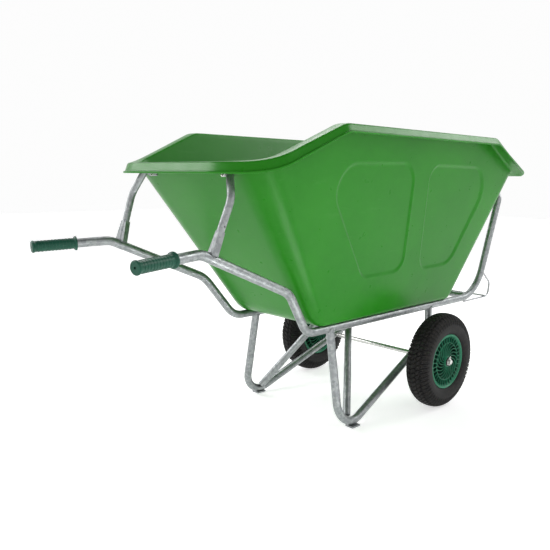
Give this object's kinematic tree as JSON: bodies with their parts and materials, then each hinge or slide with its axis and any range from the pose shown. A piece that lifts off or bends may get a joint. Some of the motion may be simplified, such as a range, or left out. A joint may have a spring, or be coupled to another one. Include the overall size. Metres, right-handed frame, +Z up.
{
  "type": "garden cart",
  "caption": "Garden cart for hauling leaves and cuttings: deep moulded plastic tub with a flared rim on a bent galvanised tube frame, pneumatic wheels on an axle, legs and hand grips.",
  "frame": {"origin": "on the ground at the middle of the cart's length and width", "axes": "+X towards the nose, +Y to the cart's left, +Z up"},
  "size_m": [2.152, 0.884, 1.133],
  "materials": {
    "tub_plastic": "satin moulded green polyethylene",
    "frame_steel": "galvanised with faint spangle",
    "rod_steel": "zinc-plated rod",
    "fixing_steel": "bright zinc plate",
    "grip_plastic": "dark green moulded plastic",
    "wheel_plastic": "dark green moulded plastic",
    "tyre_rubber": "black rubber",
    "tube_rubber": "black butyl rubber",
    "valve_brass": "brass stem with a dark cap",
    "bush_plastic": "black nylon"
  },
  "bodies": {
    "cart": {"tub": "tub_plastic", "left_rail": "frame_steel", "right_rail": "frame_steel", "front_hoop": "frame_steel", "front_cross_tube": "frame_steel", "cross_brace": "frame_steel", "left_leg": "frame_steel", "right_leg": "frame_steel", "left_foot_plate": "frame_steel", "right_foot_plate": "frame_steel", "left_stay": "frame_steel", "right_stay": "frame_steel", "stay_bolts": "fixing_steel", "stay_nuts": "fixing_steel", "left_nose_rod": "rod_steel", "right_nose_rod": "rod_steel", "nose_cross_rod": "rod_steel", "tub_tabs": "frame_steel", "tub_bolts": "fixing_steel", "tub_washers": "fixing_steel", "tub_nuts": "fixing_steel", "left_grip": "grip_plastic", "right_grip": "grip_plastic", "axle": "fixing_steel", "axle_collars": "fixing_steel", "axle_washers": "fixing_steel", "split_pins": "fixing_steel"},
    "left_wheel": {"left_tyre": "tyre_rubber", "left_inner_tube": "tube_rubber", "left_valve": "valve_brass", "left_wheel_centre": "wheel_plastic", "left_hub_bushes": "bush_plastic"},
    "right_wheel": {"right_tyre": "tyre_rubber", "right_inner_tube": "tube_rubber", "right_valve": "valve_brass", "right_wheel_centre": "wheel_plastic", "right_hub_bushes": "bush_plastic"}
  },
  "joints": [
    {"name": "left_wheel_spin", "type": "hinge", "parent": "cart", "child": "left_wheel", "pos_m": [0.3759, 0.363, 0.2], "axis": [0, 1, 0], "continuous": true},
    {"name": "right_wheel_spin", "type": "hinge", "parent": "cart", "child": "right_wheel", "pos_m": [0.3759, -0.363, 0.2], "axis": [0, 1, 0], "continuous": true}
  ]
}
